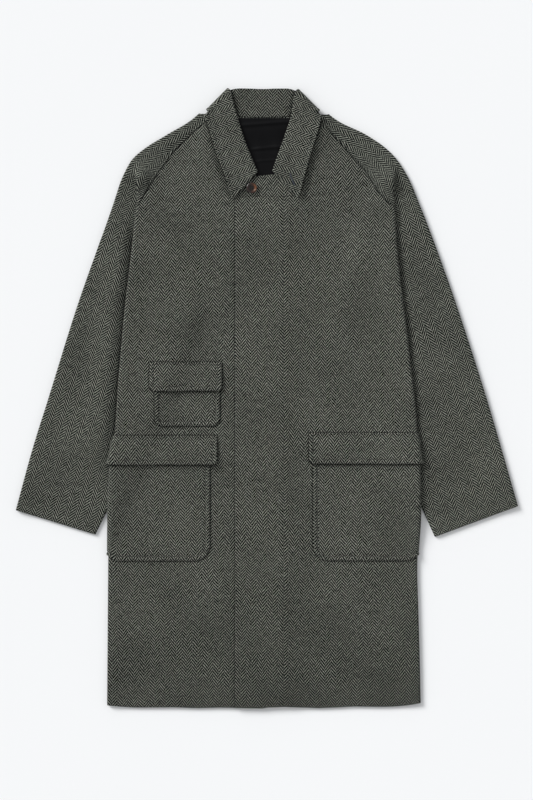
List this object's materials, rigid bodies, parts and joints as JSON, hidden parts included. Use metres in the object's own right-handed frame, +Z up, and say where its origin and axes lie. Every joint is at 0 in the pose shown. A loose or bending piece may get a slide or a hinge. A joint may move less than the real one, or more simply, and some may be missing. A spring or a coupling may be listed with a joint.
{
  "type": "balmacaan coat",
  "caption": "Knee-length balmacaan coat laid flat on its back, with raglan sleeves, turned-down collar, fly front and flapped patch pockets, in herringbone wool.",
  "frame": {"origin": "on the surface the coat lies on, under the middle of its whole outline", "axes": "+Y from the hem to the collar, +Z up off the surface towards the coat's front, +X to the wearer's left"},
  "size_m": [0.863, 1.0688, 0.0184],
  "materials": {
    "back_material": "wool herringbone tweed",
    "front_right_material": "wool herringbone tweed",
    "front_left_material": "wool herringbone tweed",
    "sleeve_right_material": "wool herringbone tweed",
    "sleeve_left_material": "wool herringbone tweed",
    "collar_material": "wool herringbone tweed",
    "neck_lining_material": "satin lining",
    "ticket_pocket_material": "wool herringbone tweed",
    "ticket_flap_material": "wool herringbone tweed",
    "hip_pocket_right_material": "wool herringbone tweed",
    "hip_flap_right_material": "wool herringbone tweed",
    "hip_pocket_left_material": "wool herringbone tweed",
    "hip_flap_left_material": "wool herringbone tweed",
    "button_material": "polished horn"
  },
  "bodies": {
    "root": {"back": "back_material", "front_right": "front_right_material", "front_left": "front_left_material", "sleeve_right": "sleeve_right_material", "sleeve_left": "sleeve_left_material", "collar": "collar_material", "neck_lining": "neck_lining_material", "ticket_pocket": "ticket_pocket_material", "ticket_flap": "ticket_flap_material", "hip_pocket_right": "hip_pocket_right_material", "hip_flap_right": "hip_flap_right_material", "hip_pocket_left": "hip_pocket_left_material", "hip_flap_left": "hip_flap_left_material", "button": "button_material"}
  },
  "joints": []
}
